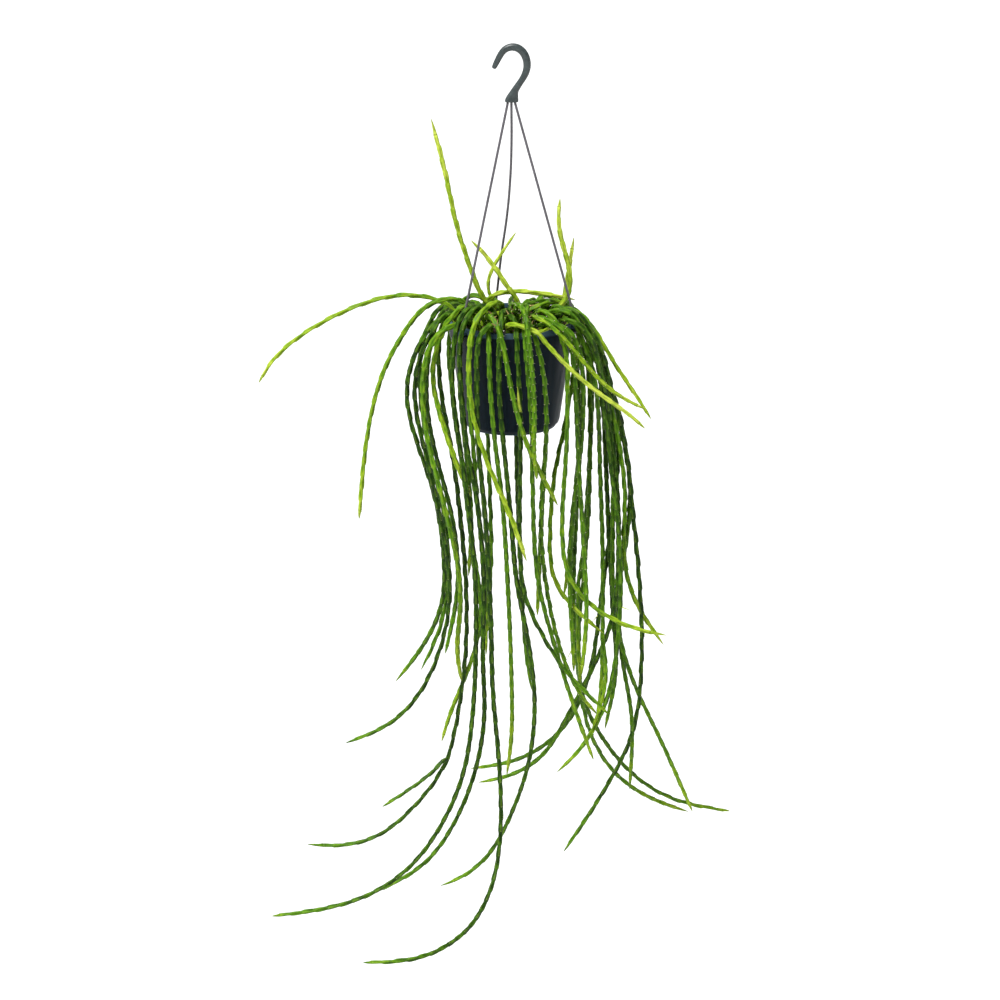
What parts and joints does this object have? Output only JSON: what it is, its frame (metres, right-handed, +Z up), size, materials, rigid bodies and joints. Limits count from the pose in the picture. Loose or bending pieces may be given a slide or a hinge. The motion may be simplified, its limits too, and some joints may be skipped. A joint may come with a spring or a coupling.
{
  "type": "potted rhipsalis",
  "caption": "Trailing jointed-stem cactus in a plastic hanging pot, carried by slim hanger rods and a moulded hook.",
  "frame": {"origin": "the hook's seat: the inner top of its bend, where it hangs on a rail or a ceiling hook", "axes": "+Z up along the pot's axis, +X to the right in the plane of the hook, +Y away from the viewer"},
  "size_m": [0.582, 0.4631, 1.0285],
  "materials": {
    "hook_plastic": "satin",
    "rod_plastic": "satin",
    "pot_plastic": "satin",
    "potting_soil": "matte",
    "stem_green": "satin"
  },
  "bodies": {
    "root": {"hook": "hook_plastic", "hanger_rod_1": "rod_plastic", "hanger_rod_2": "rod_plastic", "hanger_rod_3": "rod_plastic", "pot": "pot_plastic", "soil": "potting_soil", "stem_arch_1": "stem_green", "stem_arch_2": "stem_green", "stem_arch_3": "stem_green", "stem_arch_4": "stem_green", "stem_arch_5": "stem_green", "stem_back_1": "stem_green", "stem_back_2": "stem_green", "stem_back_3": "stem_green", "stem_back_4": "stem_green", "stem_back_5": "stem_green", "stem_left_01": "stem_green", "stem_left_02": "stem_green", "stem_left_03": "stem_green", "stem_left_04": "stem_green", "stem_left_05": "stem_green", "stem_left_06": "stem_green", "stem_left_07": "stem_green", "stem_left_08": "stem_green", "stem_left_09": "stem_green", "stem_left_10": "stem_green", "stem_left_11": "stem_green", "stem_left_12": "stem_green", "stem_mid_1": "stem_green", "stem_mid_2": "stem_green", "stem_mid_3": "stem_green", "stem_mid_4": "stem_green", "stem_mid_5": "stem_green", "stem_mid_6": "stem_green", "stem_mid_7": "stem_green", "stem_mid_8": "stem_green", "stem_right_01": "stem_green", "stem_right_02": "stem_green", "stem_right_03": "stem_green", "stem_right_04": "stem_green", "stem_right_05": "stem_green", "stem_right_06": "stem_green", "stem_right_07": "stem_green", "stem_right_08": "stem_green", "stem_right_09": "stem_green", "stem_right_10": "stem_green", "stem_right_11": "stem_green", "stem_right_12": "stem_green", "stem_right_13": "stem_green", "stem_right_14": "stem_green", "stem_right_15": "stem_green", "stem_right_16": "stem_green", "stem_right_17": "stem_green", "stem_up_1": "stem_green", "stem_up_2": "stem_green", "stem_up_3": "stem_green", "stem_up_4": "stem_green", "stem_up_5": "stem_green", "stem_up_6": "stem_green"}
  },
  "joints": []
}
